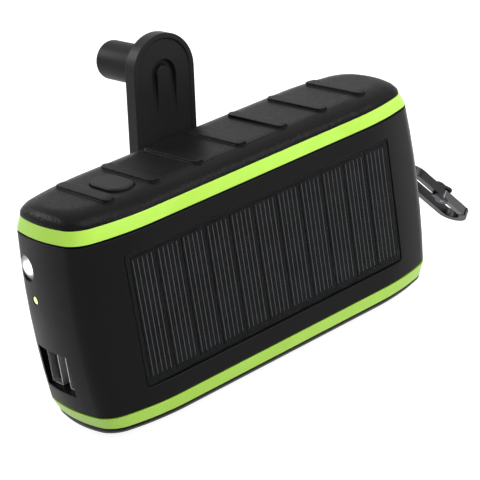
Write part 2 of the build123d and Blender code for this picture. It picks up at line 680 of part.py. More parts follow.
def arm_groove():
    """The groove round three sides of a flush tongue in the arm's front, fading out towards the root."""
    line = arch(GROOVE_WIDTH, GROOVE_TOP) - arch(GROOVE_WIDTH - 2 * GROOVE_LINE, GROOVE_TOP - GROOVE_LINE)
    foot, full, deep = GROOVE_TOP - GROOVE_LENGTH, GROOVE_TOP - GROOVE_LENGTH / 3, ARM_Y + GROOVE_DEPTH
    top = ARM_REACH + ARM_WIDTH
    wedge = make_face(Polyline((ARM_Y, foot), (deep, full), (deep, top), (ARM_Y, top), close=True))
    return slab(line, ARM_Y, deep) & extrude(Plane.YZ * wedge, GROOVE_WIDTH, both=True)


def crank_arm():
    """The arm plate, forked at its root round the lug, with a raised rim round its front."""
    root = TINE_RADIUS + LUG_SLOT_GAP
    plate = slab(arm_outline(0), ARM_Y, ARM_OUTER)
    dish = arm_outline(ARM_RIM) & Pos(0, root + ARM_REACH) * Rectangle(ARM_WIDTH, 2 * ARM_REACH)
    plate -= slab(dish, ARM_Y, ARM_Y + ARM_RIM_STEP)
    plate += end_rod(HINGE_Y, 0, TINE_RADIUS, -ARM_WIDTH / 2, ARM_WIDTH / 2)
    slot = LUG_WIDTH / 2 + LUG_SIDE_GAP
    plate -= block(-slot, slot, ARM_Y - TINE_RADIUS, ARM_OUTER + TINE_RADIUS, -TINE_RADIUS - 1, root)
    plate -= end_rod(HINGE_Y, 0, PIN_RADIUS, -ARM_WIDTH, ARM_WIDTH)
    plate -= rod(0, ARM_REACH, KNOB_AXLE_RADIUS, ARM_Y + KNOB_AXLE_COVER, ARM_OUTER)
    return on_crank(plate - arm_groove())


def knob():
    """The turning knob, with broken edges and a blind bore."""
    grip = rod(0, ARM_REACH, KNOB_RADIUS, KNOB_START, KNOB_END)
    grip = chamfer(grip.edges().filter_by(GeomType.CIRCLE), KNOB_EDGE)
    bore = rod(0, ARM_REACH, KNOB_AXLE_RADIUS + RUNNING_GAP, KNOB_START, KNOB_END - KNOB_END_WALL)
    return on_crank(grip - bore)


def on_hook(shape):
    """A shape of the hook or its eye, drawn along +X from the pin, in its place and at its angle."""
    return Pos(HOOK_X, HOOK_Y, HOOK_Z) * Rot(0, HOOK_ANGLE, 0) * shape


def on_swivel(shape):
    """A shape of the hook's body, turned about the swivel as it hangs."""
    return on_hook(Rot(HOOK_TURN, 0, 0) * shape)


def hook_eye():
    """The swivel: an eye on the pin, a collar, and a headed shank that the hook turns on."""
    half = HOOK_THICKNESS / 2
    collar = EYE_RADIUS + COLLAR_GAP
    base = HOOK_START - HOOK_BOSS_STEP - SWIVEL_GAP
    head = HOOK_START + HOOK_WALL + 2 * SWIVEL_GAP
    eye = rod(0, 0, EYE_RADIUS, -half, half) + end_rod(0, 0, half, EYE_RADIUS / 2, collar)
    eye += end_rod(0, 0, COLLAR_RADIUS, collar, base) + end_rod(0, 0, SWIVEL_RADIUS, base, head)
    eye += end_rod(0, 0, SWIVEL_HEAD_RADIUS, head, head + SWIVEL_HEAD)
    return on_hook(eye - rod(0, 0, PIN_RADIUS, -half, half))


def snap_hook():
    """The metal hook: a boss on the swivel and a long loop that is open where the gate closes it."""
    half = HOOK_THICKNESS / 2
    end = HOOK_START + HOOK_LENGTH
    middle = HOOK_START + HOOK_LENGTH / 2
    rail = HOOK_WIDTH / 2 - HOOK_WALL / 2
    boss_end = HOOK_START + HOOK_WALL + SWIVEL_GAP
    outline = Pos(middle, 0) * SlotOverall(HOOK_LENGTH, HOOK_WIDTH)
    outline -= Pos(middle, 0) * SlotOverall(HOOK_LENGTH - 2 * HOOK_WALL, HOOK_WIDTH - 2 * HOOK_WALL)
    gap_low = GATE_PIVOT - GATE_RADIUS - GATE_GAP
    gap_high = GATE_PIVOT + GATE_LENGTH + GATE_GAP
    gap = Pos((gap_low + gap_high) / 2, rail) * Rectangle(gap_high - gap_low, 2 * HOOK_WALL)
    hook = slab(outline - gap, -half, half)
    hook += end_rod(0, 0, HOOK_BOSS_RADIUS, HOOK_START - HOOK_BOSS_STEP, boss_end)
    room = boss_end + SWIVEL_HEAD + 3 * SWIVEL_GAP
    hook -= end_rod(0, 0, SWIVEL_HEAD_RADIUS + SWIVEL_GAP, boss_end, room)
    hook -= end_rod(0, 0, SWIVEL_RADIUS + RUNNING_GAP, 0, boss_end)
    cheek = Pos(GATE_PIVOT, rail) * Circle(CHEEK_RADIUS)
    cheek += Pos(GATE_PIVOT - 2, rail) * Rectangle(4, HOOK_WALL)
    cheek += Pos(GATE_PIVOT - 4, rail) * Circle(HOOK_WALL / 2)
    inner = half + CHEEK_GAP
    for low, high in ((inner, inner + CHEEK_THICKNESS), (-inner - CHEEK_THICKNESS, -inner)):
        hook += slab(cheek, low, high)
    spacer = Pos(gap_low - HOOK_WALL / 2, rail) * Rectangle(HOOK_WALL, HOOK_WALL)
    hook += slab(spacer, -inner, inner)
    hook -= rod(GATE_PIVOT, rail, GATE_PIN_RADIUS, -end, end)
    return on_swivel(hook)


def snap_gate():
    """The sprung gate that closes the hook."""
    rail = HOOK_WIDTH / 2 - HOOK_WALL / 2
    bar = Pos(GATE_PIVOT, rail) * Circle(GATE_RADIUS)
    bar += Pos(GATE_PIVOT + GATE_LENGTH / 2, rail) * Rectangle(GATE_LENGTH, 2 * GATE_RADIUS)
    bar -= Pos(GATE_PIVOT, rail) * Circle(GATE_PIN_RADIUS + RUNNING_GAP)
    return on_swivel(slab(bar, -HOOK_THICKNESS / 2, HOOK_THICKNESS / 2))


def gate_pin():
    """The rivet that the gate turns on."""
    rail = HOOK_WIDTH / 2 - HOOK_WALL / 2
    reach = HOOK_THICKNESS / 2 + CHEEK_GAP + CHEEK_THICKNESS
    return on_swivel(rod(GATE_PIVOT, rail, GATE_PIN_RADIUS, -reach, reach))


def save(node, shape):
    """Write one node, lifted from the middle of the body to its place above the origin."""
    parts = shape if isinstance(shape, list) else [shape]
    solids = [solid for part in parts for solid in (Pos(0, 0, HALF_HEIGHT) * part).solids()]
    export_step(solids[0] if len(solids) == 1 else Compound(children=solids), f"parts/{node}.step")


os.makedirs("parts", exist_ok=True)

cover = ribbed_cover()
save("mid_housing", mid_housing())
save("top_plate", lime_plate() - stem_hole(STEM_HOLE_GAP))
save("bottom_plate", mirror(lime_plate(), Plane.XY))
save("top_gasket", gasket())
save("bottom_gasket", mirror(gasket(), Plane.XY))
save("top_cover", cover - button_hole(BUTTON_GAP))
save("bottom_cover", mirror(cover, Plane.XY))
save("plate_screws", [shaft + head for shaft, head in zip(screw_shafts(), screw_heads())])

board_back = PANEL_FLOOR - BOARD_THICKNESS
window_back = board_back - CELL_THICKNESS
save("panel_board", panel_layer(board_back, PANEL_FLOOR))
save("solar_cells", solar_cells())
save("panel_window", panel_layer(window_back - WINDOW_THICKNESS, window_back))

save("torch_lens", torch_lens())
save("torch_reflector", torch_reflector())
save("torch_led", torch_led())
save("light_pipe", end_rod(LIGHT_Y, LIGHT_Z, LIGHT_RADIUS, LIGHT_SETBACK - HALF_LENGTH, CAVITY_LEFT))
save("usb_shells", usb_shells())
save("usb_tongues", usb_tongues())
save("usb_carrier", usb_carrier())
save("circuit_board", circuit_board())
save("board_screws", side_screws(STANDOFFS, SHELL_FRONT, 1))
save("tact_switch", tact_switch())
save("battery_cells", battery_cells())

save("crank_bush", crank_bush())
save("gearbox_plate", gearbox_plate())
save("gearbox_screws", side_screws(POSTS, GEARBOX_BASE, -1))
save("idler_axle", rod(IDLER_X, IDLER_Z, AXLE_RADIUS, GEARBOX_BASE, CAVITY_BACK + BACK_WALL / 2))
save("generator_can", generator_can())
save("generator_coils", generator_coils())

save("crank_hub", crank_hub())
save("crank_shaft", rod(HUB_X, 0, SHAFT_RADIUS, GEARBOX_BASE - 0.5, HUB_OUTER - 0.6))
hub_middle, idler_middle, rotor_middle = (HUB_X, 0), (IDLER_X, IDLER_Z), (ROTOR_X, ROTOR_Z)
upper, lower = (UPPER_GEAR_BASE, UPPER_GEAR_TOP), (LOWER_GEAR_BASE, LOWER_GEAR_TOP)
save("crank_gear", gear(CRANK_MODULE, CRANK_TEETH, *upper, SHAFT_RADIUS, hub_middle, IDLER_DIRECTION))
spacer_ring = Pos(HUB_X, 0) * (Circle(BUSH_RADIUS) - Circle(SHAFT_RADIUS))
save("crank_spacer", slab(spacer_ring, UPPER_GEAR_TOP, CAVITY_BACK - HUB_GAP / 2))

idler_bore = AXLE_RADIUS + RUNNING_GAP
long_upper = (LOWER_GEAR_TOP, UPPER_GEAR_TOP)
facing = IDLER_DIRECTION + 180 + 180 / IDLER_PINION_TEETH
save("idler_pinion", gear(CRANK_MODULE, IDLER_PINION_TEETH, *long_upper, idler_bore, idler_middle, facing))
save("idler_wheel", gear(ROTOR_MODULE, IDLER_TEETH, *lower, idler_bore, idler_middle, ROTOR_DIRECTION))
facing = ROTOR_DIRECTION + 180 + 180 / ROTOR_TEETH
save("generator_pinion", gear(ROTOR_MODULE, ROTOR_TEETH, *lower, ROTOR_SHAFT_RADIUS, rotor_middle, facing))
shaft_foot = GEARBOX_BASE - CAN_LENGTH + RUNNING_GAP
save("generator_shaft", rod(ROTOR_X, ROTOR_Z, ROTOR_SHAFT_RADIUS, shaft_foot, LOWER_GEAR_TOP))
save("generator_rotor", generator_rotor())

save("crank_arm", crank_arm())
save("arm_pin", on_crank(end_rod(HINGE_Y, 0, PIN_RADIUS, -ARM_WIDTH / 2 + 0.5, ARM_WIDTH / 2 - 0.5)))
knob_axle = rod(0, ARM_REACH, KNOB_AXLE_RADIUS, ARM_Y + KNOB_AXLE_COVER, KNOB_END - KNOB_END_WALL - 0.3)
save("knob_axle", on_crank(knob_axle))
save("knob", knob())
save("power_button", power_button())

ear_reach = HOOK_THICKNESS / 2 + EAR_GAP + EAR_THICKNESS
save("hook_pin", rod(HOOK_X, HOOK_Z, PIN_RADIUS, HOOK_Y - ear_reach, HOOK_Y + ear_reach))
save("hook_eye", hook_eye())
save("snap_hook", snap_hook())
save("gate_pin", gate_pin())
save("snap_gate", snap_gate())
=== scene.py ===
import json
from math import cos, radians, sin

import bpy
from mathutils import Matrix, Vector

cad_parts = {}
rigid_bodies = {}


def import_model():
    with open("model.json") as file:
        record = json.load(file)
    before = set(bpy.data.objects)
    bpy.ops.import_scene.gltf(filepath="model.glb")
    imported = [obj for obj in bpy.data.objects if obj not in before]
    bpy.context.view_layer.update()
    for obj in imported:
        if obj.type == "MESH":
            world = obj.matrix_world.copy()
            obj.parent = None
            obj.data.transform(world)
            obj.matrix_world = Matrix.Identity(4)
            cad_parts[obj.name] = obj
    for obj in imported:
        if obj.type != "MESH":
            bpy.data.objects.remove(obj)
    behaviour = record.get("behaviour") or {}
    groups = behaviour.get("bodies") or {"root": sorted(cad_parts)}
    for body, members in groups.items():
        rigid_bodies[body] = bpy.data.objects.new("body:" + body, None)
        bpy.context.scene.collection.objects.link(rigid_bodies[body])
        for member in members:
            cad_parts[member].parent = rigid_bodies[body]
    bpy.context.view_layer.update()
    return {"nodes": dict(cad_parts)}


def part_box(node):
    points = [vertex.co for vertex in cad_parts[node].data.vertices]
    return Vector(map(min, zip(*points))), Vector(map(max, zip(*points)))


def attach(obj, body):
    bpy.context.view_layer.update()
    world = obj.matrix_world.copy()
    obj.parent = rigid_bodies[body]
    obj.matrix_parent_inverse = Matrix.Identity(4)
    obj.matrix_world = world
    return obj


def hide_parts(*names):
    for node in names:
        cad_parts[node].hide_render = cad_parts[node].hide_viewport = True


# A hand crank power bank on a plain white studio floor, seen from a little above its left front
# corner, with its crank standing up behind it. Metres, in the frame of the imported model.

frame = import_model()
nodes = frame["nodes"]
bpy.context.scene.view_settings.view_transform = "Standard"

MM = 0.001

# modelling: what counts as one point, as flat, as a sharp edge and as a rear face
MERGE_DISTANCE = 0.002 * MM
FLAT_ANGLE = radians(0.5)
EDGE_ANGLE = radians(32)
BAR_ANGLE = radians(35)
REAR_DEPTH = 0.02 * MM

# the silver fingers printed on the cells
CELLS, FINGERS_PER_CELL = 11, 5
CELL_GAP = 1.0 * MM
FINGER_WIDTH, FINGER_LIFT, FINGER_EDGE_MM = 0.14 * MM, 0.02 * MM, 0.008
FINGER_FOOT, FINGER_HEAD = 1.2 * MM, 0.8 * MM
FILM_CLEARANCE_MM = 0.04

# the gold contacts on the tongues of the two sockets
SOCKETS, CONTACTS = 2, 4
USB_PITCH = 9.6 * MM
CONTACT_WIDTH, CONTACT_LENGTH, CONTACT_STEP = 1.0 * MM, 7.4 * MM, 2.3 * MM
CONTACT_INSET, CONTACT_PROUD, CONTACT_EDGE_MM = 0.7 * MM, 0.06 * MM, 0.02

# the camera, fitted to the photograph, which is PICTURE pixels wide
PICTURE = 480
FOCAL_PIXELS = 1798.5
CAMERA_YAW, CAMERA_PITCH, CAMERA_ROLL = radians(37.36), radians(21.98), radians(-8.97)
CAMERA_DISTANCE = 0.5763
CAMERA_SHIFT_X, CAMERA_SHIFT_Y = -0.00217, -0.00126
CLIP_NEAR, CLIP_FAR = 0.01, 20

# the studio: FLOOR_LIFT and the world's two strengths are emission
FLOOR_SIZE, FLOOR_LIFT = 6, 0.9
WORLD_FILL, WORLD_SEEN = 0.35, 1.0

# height of the body's middle, which the camera looks at
MID_Z = (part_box("top_cover")[1].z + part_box("bottom_cover")[0].z) / 2


# ---------------------------------------------------------------- materials

def hex_colour(text):
    """An sRGB hex colour as linear values."""
    values = [int(text[i:i + 2], 16) / 255 for i in (0, 2, 4)]
    return [v / 12.92 if v <= 0.04045 else ((v + 0.055) / 1.055) ** 2.4 for v in values] + [1.0]


def scaled(colour, factor):
    """A linear colour made lighter or darker by a factor."""
    return [factor * value for value in colour[:3]] + [1.0]


def add(tree, kind, settings=None, links=None):
    """Add one node with its settings, and link its inputs."""
    node = tree.nodes.new(kind)
    for name, value in (settings or {}).items():
        if hasattr(node, name):
            setattr(node, name, value)
        else:
            node.inputs[name].default_value = value
    for name, source in (links or {}).items():
        tree.links.new(source, node.inputs[name])
    return node


def calculate(tree, operation, *values):
    """One arithmetic node, on values that are numbers or sockets."""
    node = add(tree, "ShaderNodeMath", {"operation": operation})
    for socket, value in zip(node.inputs, values):
        if isinstance(value, (int, float)):
            socket.default_value = value
        else:
            tree.links.new(value, socket)
    return node.outputs[0]


def new_material(name, colour, roughness, metallic=0.0, **sockets):
    """A Principled material. Further sockets are set by name, with spaces as underscores."""
    material = bpy.data.materials.new(name)
    material.use_nodes = True
    tree = material.node_tree
    shader = tree.nodes["Principled BSDF"]
    shader.inputs["Base Color"].default_value = hex_colour(colour)
    shader.inputs["Roughness"].default_value = roughness
    shader.inputs["Metallic"].default_value = metallic
    for socket, value in sockets.items():
        shader.inputs[socket.replace("_", " ")].default_value = value
    material.diffuse_color = hex_colour(colour)
    return material, tree, shader


def place(tree):
    """Object coordinates, in metres."""
    return add(tree, "ShaderNodeTexCoord").outputs["Object"]


def noise(tree, where, size_mm, detail, **settings):
    """A soft noise with features of size_mm, and smaller ones in it for more detail."""
    settings.update({"Scale": 1 / (size_mm * MM), "Detail": detail})
    return add(tree, "ShaderNodeTexNoise", settings, {"Vector": where}).outputs["Fac"]


def ramp(tree, source, stops):
    """A colour ramp with stops given as position and value."""
    node = add(tree, "ShaderNodeValToRGB", links={"Fac": source})
    elements = node.color_ramp.elements
    while len(elements) < len(stops):
        elements.new(0.5)
    for element, (position, value) in zip(elements, stops):
        element.position = position
        element.color = value if isinstance(value, list) else [value, value, value, 1.0]
    return node.outputs["Color"]


def vary(tree, shader, socket, source, stops):
    """Let a pattern set one of the shader's sockets, through a ramp."""
    tree.links.new(ramp(tree, source, stops), shader.inputs[socket])


def bump(tree, shader, height, depth_mm):
    """Bump by a height pattern, as deep as depth_mm."""
    settings = {"Distance": depth_mm * MM, "Strength": 1.0}
    node = add(tree, "ShaderNodeBump", settings, {"Height": height})
    tree.links.new(node.outputs["Normal"], shader.inputs["Normal"])
    return node


def dress(node, material):
    """Give a CAD node its material."""
    target = nodes[node].data.materials
    target.clear()
    target.append(material)


# ---------------------------------------------------------------- finishes

def moulded_black(name, colour, roughness, grain_mm, depth_mm):
    """Black moulded plastic: satin, with a fine spark-eroded grain, cloudy in raking light."""
    material, tree, shader = new_material(name, colour, roughness, Specular_IOR_Level=0.09)
    where = place(tree)
    grain = noise(tree, where, grain_mm, 3.0, Roughness=0.6)
    cloud = noise(tree, where, 22, 2.0)
    base = hex_colour(colour)
    vary(tree, shader, "Base Color", cloud, [(0.35, base), (0.7, scaled(base, 1.35))])
    vary(tree, shader, "Roughness", cloud, [(0.3, roughness - 0.04), (0.75, roughness + 0.06)])
    bump(tree, shader, grain, depth_mm)
    return material


def lime_plastic():
    """Lime ABS, injection moulded: a glossy skin with a faint ripple and hardly deeper patches."""
    material, tree, shader = new_material("lime_abs_moulded", "ACE04A", 0.34,
                                          Specular_IOR_Level=0.4)
    where = place(tree)
    cloud = noise(tree, where, 14, 2.0)
    vary(tree, shader, "Base Color", cloud,
         [(0.3, hex_colour("AEDE48")), (0.7, hex_colour("B6E858"))])
    bump(tree, shader, noise(tree, where, 0.7, 2.0), 0.02)
    return material


def grained_rubber():
    """Black TPE over-mould: smooth on the crown, with a leather grain on its slopes."""
    material, tree, shader = new_material("black_tpe_grained", "0E0E0F", 0.3,
                                          Specular_IOR_Level=0.06)
    where = place(tree)
    pebble_mm = 0.8
    pebble = add(tree, "ShaderNodeTexVoronoi",
                 {"Scale": 1 / (pebble_mm * MM), "feature": "SMOOTH_F1"},
                 {"Vector": where}).outputs["Distance"]
    cloud = noise(tree, where, 18, 3.0)
    vary(tree, shader, "Base Color", cloud,
         [(0.3, hex_colour("0C0C0D")), (0.75, hex_colour("121213"))])
    vary(tree, shader, "Roughness", pebble, [(0.1, 0.3), (0.7, 0.4)])
    facing = add(tree, "ShaderNodeNewGeometry").outputs["Normal"]
    upright = add(tree, "ShaderNodeSeparateXYZ", links={"Vector": facing}).outputs["Z"]
    slope = ramp(tree, calculate(tree, "ABSOLUTE", upright), [(0.75, 1.0), (0.97, 0.0)])
    tree.links.new(slope, bump(tree, shader, pebble, 0.12).inputs["Strength"])
    return material


def plain_rubber(name, colour, roughness):
    """Silicone, soft rubber or a dull moulding: matt, with dust-fine mottling."""
    material, tree, shader = new_material(name, colour, roughness, Specular_IOR_Level=0.12)
    fine = noise(tree, place(tree), 0.5, 4.0)
    base = hex_colour(colour)
    vary(tree, shader, "Base Color", fine, [(0.3, base), (0.8, scaled(base, 1.5))])
    bump(tree, shader, fine, 0.02)
    return material


def brushed(name, colour, roughness, line_mm, along=(1, 1, 1), metallic=1.0):
    """A metal with fine tool or drawing marks: long thin streaks in its gloss."""
    material, tree, shader = new_material(name, colour, roughness, metallic)
    stretched = add(tree, "ShaderNodeMapping", {"Scale": along}, {"Vector": place(tree)})
    streak = noise(tree, stretched.outputs["Vector"], line_mm, 4.0)
    base = hex_colour(colour)
    vary(tree, shader, "Base Color", streak, [(0.3, scaled(base, 0.82)), (0.75, base)])
    vary(tree, shader, "Roughness", streak, [(0.3, roughness + 0.12), (0.75, roughness - 0.04)])
    bump(tree, shader, streak, 0.008)
    return material


def silicon_cells():
    """Monocrystalline silicon: near black with a blue cast, in slightly different lots."""
    material, tree, shader = new_material("silicon_cell", "0D0E10", 0.4, Specular_IOR_Level=0.1)
    vary(tree, shader, "Base Color", noise(tree, place(tree), 9, 1.0),
         [(0.35, hex_colour("0A0B0D")), (0.7, hex_colour("121316"))])
    return material


def clear_sheet(name, tint, alpha, roughness, specular):
    """A clear resin or polymer film: what lies below shows through a thin gloss."""
    material, tree, shader = new_material(name, tint, roughness, Alpha=alpha, IOR=1.5,
                                          Specular_IOR_Level=specular)
    ripple = noise(tree, place(tree), 6, 2.0)
    vary(tree, shader, "Roughness", ripple, [(0.3, roughness), (0.8, roughness + 0.1)])
    bump(tree, shader, ripple, 0.004)
    return material


def glowing(name, colour, light, strength):
    """A lit part: its own light over its plain body colour."""
    material, tree, shader = new_material(name, colour, 0.4)
    shader.inputs["Emission Color"].default_value = hex_colour(light)
    shader.inputs["Emission Strength"].default_value = strength
    bump(tree, shader, noise(tree, place(tree), 0.4, 2.0), 0.01)
    return material


def lens_with_painted_glow():
    """Clear polycarbonate over a lit LED, with the LED's glare painted into the lens as its own
    emission: blinding at its middle, and dimmer towards its rim.
    """
    material, tree, shader = new_material("clear_polycarbonate_painted_glow", "F4F6F8", 0.08, Alpha=0.35,
                                          Specular_IOR_Level=0.4)
    core, rim = 0.5 * MM, 3.0 * MM
    brightest, dimmest = 6.0, 0.02
    low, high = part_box("torch_lens")
    axis = (low + high) / 2
    flat = add(tree, "ShaderNodeMapping",
               {"Scale": (0, 1, 1), "Location": (0, -axis.y, -axis.z)}, {"Vector": place(tree)})
    away = add(tree, "ShaderNodeVectorMath", {"operation": "LENGTH"},
               {"Vector": flat.outputs["Vector"]})
    # painted glow: the lens itself emits, strongest on the torch's axis and fading towards its rim
    glow = add(tree, "ShaderNodeMapRange",
               {"interpolation_type": "SMOOTHSTEP", "From Min": core, "From Max": rim,
                "To Min": brightest, "To Max": dimmest}, {"Value": away.outputs["Value"]})
    shader.inputs["Emission Color"].default_value = hex_colour("FFFFFF")
    tree.links.new(glow.outputs["Result"], shader.inputs["Emission Strength"])
    return material


SATIN_ABS = moulded_black("black_abs_soft_touch", "080809", 0.36, 0.35, 0.012)
CRANK_ABS = moulded_black("black_abs_crank", "1C1C1D", 0.34, 0.4, 0.015)
KNOB_ABS = moulded_black("black_nylon_knob", "121213", 0.46, 0.5, 0.02)
LIME_ABS = lime_plastic()
COVER_TPE = grained_rubber()
SEAL_SILICONE = plain_rubber("black_silicone_seal", "0B0B0C", 0.6)
BUTTON_RUBBER = plain_rubber("black_silicone_button", "19191A", 0.48)
PANEL_LAMINATE = plain_rubber("black_fr4_panel", "0C0D0E", 0.45)
CELL_SILICON = silicon_cells()
SILVER_PASTE = brushed("silver_paste_fingers", "7A7B7E", 0.6, 0.3, (1, 1, 0.1), 0.0)
PANEL_RESIN = clear_sheet("clear_pet_film", "08090A", 0.1, 0.24, 0.15)
LENS_PC = lens_with_painted_glow()
CHROME = brushed("vapour_chrome", "A8AAAC", 0.14, 0.6)
LED_LIT = glowing("lit_led_phosphor", "F6F2D8", "FFFFFF", 6.0)
LIGHT_GUIDE = glowing("green_light_guide", "B8E070", "D4FF8C", 2.0)
NICKEL = brushed("nickel_plated_steel", "D2D3D4", 0.42, 0.3, (0.08, 1, 1))
SOCKET_NYLON = plain_rubber("black_nylon_socket", "0E0E0F", 0.45)
GOLD = brushed("gold_flash_contact", "D8B45A", 0.25, 0.2, (0.1, 1, 1))
GREEN_MASK = plain_rubber("green_solder_mask", "12502E", 0.35)
POUCH_FOIL = brushed("aluminium_pouch_foil", "A9ABAE", 0.42, 1.5)
BRONZE = brushed("sintered_bronze", "9C7442", 0.45, 0.25)
ZINC_SHEET = brushed("zinc_plated_sheet", "AEB2B6", 0.36, 0.8, (0.05, 1, 1))
ZINC_SCREW = brushed("zinc_plated_screw", "B4B6B8", 0.32, 0.2)
ACETAL = plain_rubber("natural_acetal", "D9D6CC", 0.42)
COPPER_WIRE = brushed("enamelled_copper_winding", "A4562A", 0.34, 0.25, (1, 0.05, 1))
FERRITE = plain_rubber("ferrite_magnet", "2A2A2D", 0.5)
GROUND_STEEL = brushed("ground_steel_pin", "8E9196", 0.24, 0.15, (1, 0.1, 1))
BLACK_STEEL = brushed("black_oxide_pin", "1C1C1E", 0.42, 0.2)
GUNMETAL = brushed("gunmetal_plated_zinc", "2E2E30", 0.3, 0.5)
GATE_STEEL = brushed("gunmetal_plated_gate", "505052", 0.26, 0.4)


# ---------------------------------------------------------------- modelling helpers

def select_none():
    """Leave edit mode and select nothing."""
    if bpy.context.object and bpy.context.object.mode != "OBJECT":
        bpy.ops.object.mode_set(mode="OBJECT")
    bpy.ops.object.select_all(action="DESELECT")


def only(obj):
    """Select one object and nothing else."""
    select_none()
    obj.select_set(True)
    bpy.context.view_layer.objects.active = obj


def finish_piece(piece, name, material, body="charger"):
    """Name a piece, give it its finish and let it ride on its body."""
    piece.name = name
    piece.data.name = name
    piece.data.materials.clear()
    piece.data.materials.append(material)
    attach(piece, body)
    return piece


def apply_modifier(piece, kind, **settings):
    """Add one modifier and apply it."""
    only(piece)
    modifier = piece.modifiers.new(kind.title(), kind)
    for name, value in settings.items():
        setattr(modifier, name, value)
    bpy.ops.object.modifier_apply(modifier=modifier.name)


def repeat(piece, count, offset):
    """Repeat a piece in a row, each by the offset from the last."""
    apply_modifier(piece, "ARRAY", count=count, use_relative_offset=False,
                   use_constant_offset=True, constant_offset_displace=offset)


def softened(node, name, material, body, edge_mm, segments=2, clamp=True):
    """A merged copy of a CAD node with its sharp edges rounded, which stands for that node.

    The clamp keeps a rounding within its faces. Without it the shortest edge doesn't limit it.
    """
    only(nodes[node])
    bpy.ops.object.duplicate()
    piece = bpy.context.object
    bpy.ops.object.parent_clear(type="CLEAR_KEEP_TRANSFORM")
    bpy.ops.mesh.customdata_custom_splitnormals_clear()
    bpy.ops.object.mode_set(mode="EDIT")
    bpy.ops.mesh.select_all(action="SELECT")
    bpy.ops.mesh.remove_doubles(threshold=MERGE_DISTANCE)
    bpy.ops.mesh.dissolve_limited(angle_limit=FLAT_ANGLE)
    bpy.ops.object.mode_set(mode="OBJECT")
    apply_modifier(piece, "BEVEL", width=edge_mm * MM, segments=segments, limit_method="ANGLE",
                   angle_limit=EDGE_ANGLE, miter_outer="MITER_ARC", use_clamp_overlap=clamp)
    only(piece)
    bpy.ops.object.shade_smooth_by_angle(angle=EDGE_ANGLE)
    apply_modifier(piece, "WEIGHTED_NORMAL", keep_sharp=True)
    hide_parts(node)
    return finish_piece(piece, name, material, body)


def lift_back(piece, clear_mm):
    """Move the rear face of a piece forward a hair, off the plane of what lies behind it."""
    only(piece)
    rear = max(vertex.co.y for vertex in piece.data.vertices)
    for vertex in piece.data.vertices:
        vertex.select = vertex.co.y > rear - REAR_DEPTH
    bpy.ops.object.mode_set(mode="EDIT")
    bpy.ops.transform.translate(value=(0, -clear_mm * MM, 0))
    bpy.ops.object.mode_set(mode="OBJECT")


def bar(low, high, edge_mm):
    """A primitive block between two corners, in metres, with its edges bevelled in edit mode."""
    select_none()
    low, high = Vector(low), Vector(high)
    bpy.ops.mesh.primitive_cube_add(size=1, location=(low + high) / 2, scale=high - low)
    piece = bpy.context.object
    bpy.ops.object.transform_apply(location=True, rotation=True, scale=True)
    bpy.ops.object.mode_set(mode="EDIT")
    bpy.ops.mesh.select_all(action="SELECT")
    bpy.ops.mesh.bevel(offset=edge_mm * MM, segments=1, affect="EDGES")
    bpy.ops.object.mode_set(mode="OBJECT")
    bpy.ops.object.shade_smooth_by_angle(angle=BAR_ANGLE)
    return piece


# ---------------------------------------------------------------- camera, lamps and floor

def make_camera():
    """The camera at the photograph's angle, turned a little about its own line of sight."""
    forward = Vector((sin(CAMERA_YAW) * cos(CAMERA_PITCH), cos(CAMERA_YAW) * cos(CAMERA_PITCH),
                      -sin(CAMERA_PITCH)))
    level = forward.cross(Vector((0, 0, 1))).normalized()
    upward = level.cross(forward)
    right = cos(CAMERA_ROLL) * level + sin(CAMERA_ROLL) * upward
    up = -sin(CAMERA_ROLL) * level + cos(CAMERA_ROLL) * upward
    data = bpy.data.cameras.new("camera")
    data.lens = FOCAL_PIXELS / PICTURE * data.sensor_width
    data.clip_start, data.clip_end = CLIP_NEAR, CLIP_FAR
    camera = bpy.data.objects.new("camera", data)
    bpy.context.scene.collection.objects.link(camera)
    turn = Matrix((right, up, -forward)).transposed().to_4x4()
    spot = -forward * CAMERA_DISTANCE - right * CAMERA_SHIFT_X - up * CAMERA_SHIFT_Y
    camera.matrix_world = Matrix.Translation(spot + Vector((0, 0, MID_Z))) @ turn
    bpy.context.scene.camera = camera


def seen_directly(tree):
    """1 where a camera, glossy or see-through ray looks, which is where the backdrop shows."""
    path = add(tree, "ShaderNodeLightPath").outputs
    seen = calculate(tree, "MAXIMUM", path["Is Camera Ray"], path["Is Glossy Ray"])
    return calculate(tree, "MAXIMUM", seen, path["Is Transmission Ray"])


def make_floor():
    """A white paper sweep under the object."""
    select_none()
    bpy.ops.mesh.primitive_plane_add(size=FLOOR_SIZE, location=(0, 0, 0))
    floor = bpy.context.object
    floor.name = "studio_floor"
    material, tree, shader = new_material("white_paper_floor", "A4A4A4", 0.9)
    shader.inputs["Emission Color"].default_value = hex_colour("FFFFFF")
    lift = calculate(tree, "MULTIPLY", seen_directly(tree), FLOOR_LIFT)
    tree.links.new(lift, shader.inputs["Emission Strength"])
    floor.data.materials.append(material)


def make_lamp(name, spot, aim_z, size, watts):
    """A square soft box that looks at a point on the Z axis."""
    data = bpy.data.lights.new(name, "AREA")
    data.shape, data.size, data.energy = "SQUARE", size, watts
    lamp = bpy.data.objects.new(name, data)
    bpy.context.scene.collection.objects.link(lamp)
    turn = (Vector((0, 0, aim_z)) - Vector(spot)).to_track_quat("-Z", "Y").to_matrix()
    lamp.matrix_world = Matrix.Translation(spot) @ turn.to_4x4()


def make_world():
    """A white surround that lights evenly and shows as white paper."""
    world = bpy.context.scene.world or bpy.data.worlds.new("world")
    bpy.context.scene.world = world
    world.use_nodes = True
    tree = world.node_tree
    background = tree.nodes["Background"]
    background.inputs["Color"].default_value = hex_colour("FFFFFF")
    strength = add(tree, "ShaderNodeMapRange", {"To Min": WORLD_FILL, "To Max": WORLD_SEEN},
                   {"Value": seen_directly(tree)})
    tree.links.new(strength.outputs["Result"], background.inputs["Strength"])


